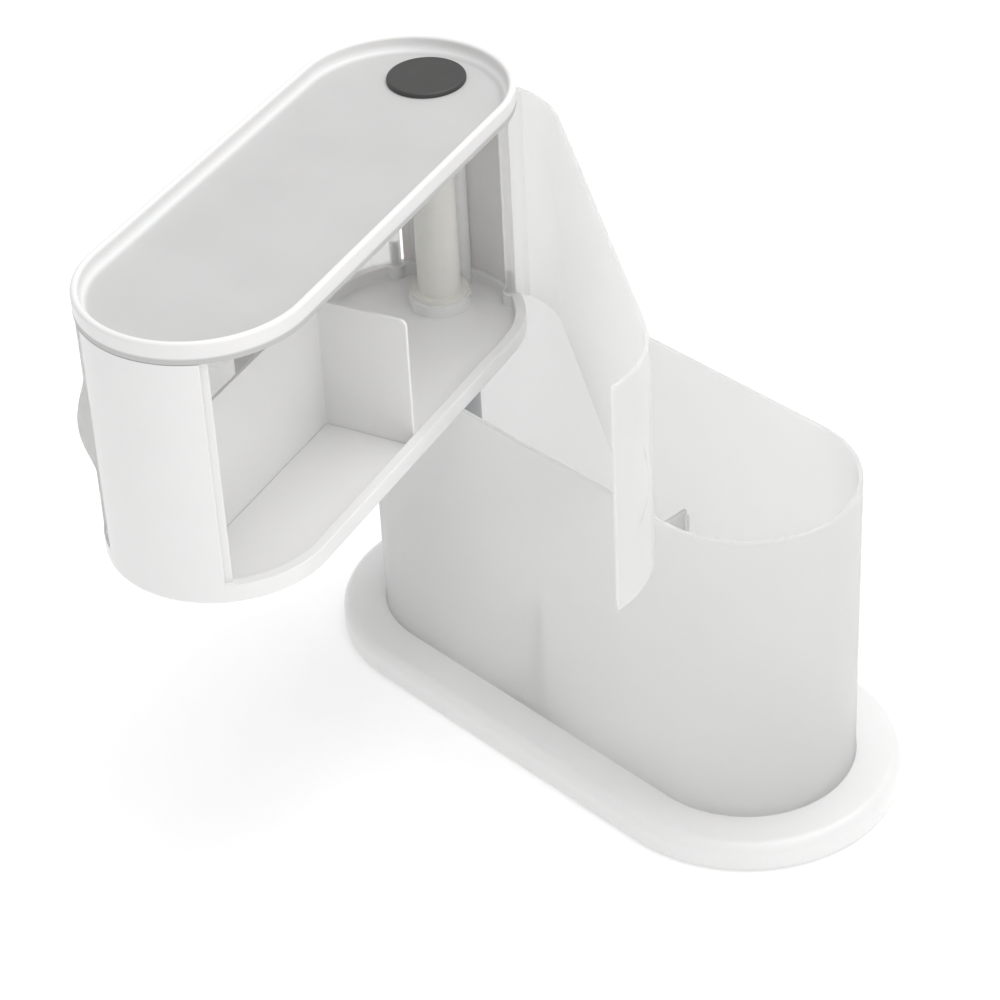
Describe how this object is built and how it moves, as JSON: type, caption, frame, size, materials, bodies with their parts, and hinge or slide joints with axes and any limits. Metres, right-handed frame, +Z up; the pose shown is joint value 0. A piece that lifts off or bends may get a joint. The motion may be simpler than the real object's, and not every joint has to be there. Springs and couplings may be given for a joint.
{
  "type": "makeup organizer",
  "caption": "Two-level vanity organizer: frosted lower bin on a wide base, and a white upper tier with a tray that swivels out and has frosted swing doors on both sides.",
  "frame": {"origin": "on the surface that the feet stand on, under the swivel axis", "axes": "+Z up along the swivel axis, +X along the base away from the swivel end"},
  "size_m": [0.281, 0.2726, 0.264],
  "materials": {
    "white_plastic": "satin gloss moulded white plastic",
    "frosted_plastic": "frosted translucent plastic",
    "grey_plastic": "satin grey moulded plastic",
    "dark_plastic": "fine-textured dark grey plastic",
    "bearing_plastic": "smooth low-friction plastic",
    "steel": "zinc-plated steel",
    "rubber": "matt rubber"
  },
  "bodies": {
    "base": {"base_plate": "white_plastic", "base_underplate": "white_plastic", "underplate_screws": "steel", "rubber_feet": "rubber", "lower_bin": "frosted_plastic", "bin_divider": "frosted_plastic", "bin_screws": "steel", "pivot_column": "grey_plastic", "column_screws": "steel", "bearing_washer": "bearing_plastic", "pivot_axle": "steel", "axle_washer": "steel", "axle_screw": "steel"},
    "tier": {"tier_body": "white_plastic", "hub_tube": "bearing_plastic", "tier_divider": "white_plastic", "tray_top": "white_plastic", "tray_screws": "steel", "pivot_cap": "dark_plastic"},
    "right_swing": {"right_door": "frosted_plastic", "right_door_pins": "steel"},
    "left_swing": {"left_door": "frosted_plastic", "left_door_pins": "steel"}
  },
  "joints": [
    {"name": "tier_swivel", "type": "hinge", "parent": "base", "child": "tier", "pos_m": [0, 0, 0.15], "axis": [0, 0, 1], "continuous": true},
    {"name": "right_door_hinge", "type": "hinge", "parent": "tier", "child": "right_swing", "pos_m": [0.02232, 0.02022, 0.2], "axis": [0, 0, 1], "range_deg": [-38, 62]},
    {"name": "left_door_hinge", "type": "hinge", "parent": "tier", "child": "left_swing", "pos_m": [-0.03003, 0.00219, 0.2], "axis": [0, 0, 1], "range_deg": [-100, 0]}
  ]
}
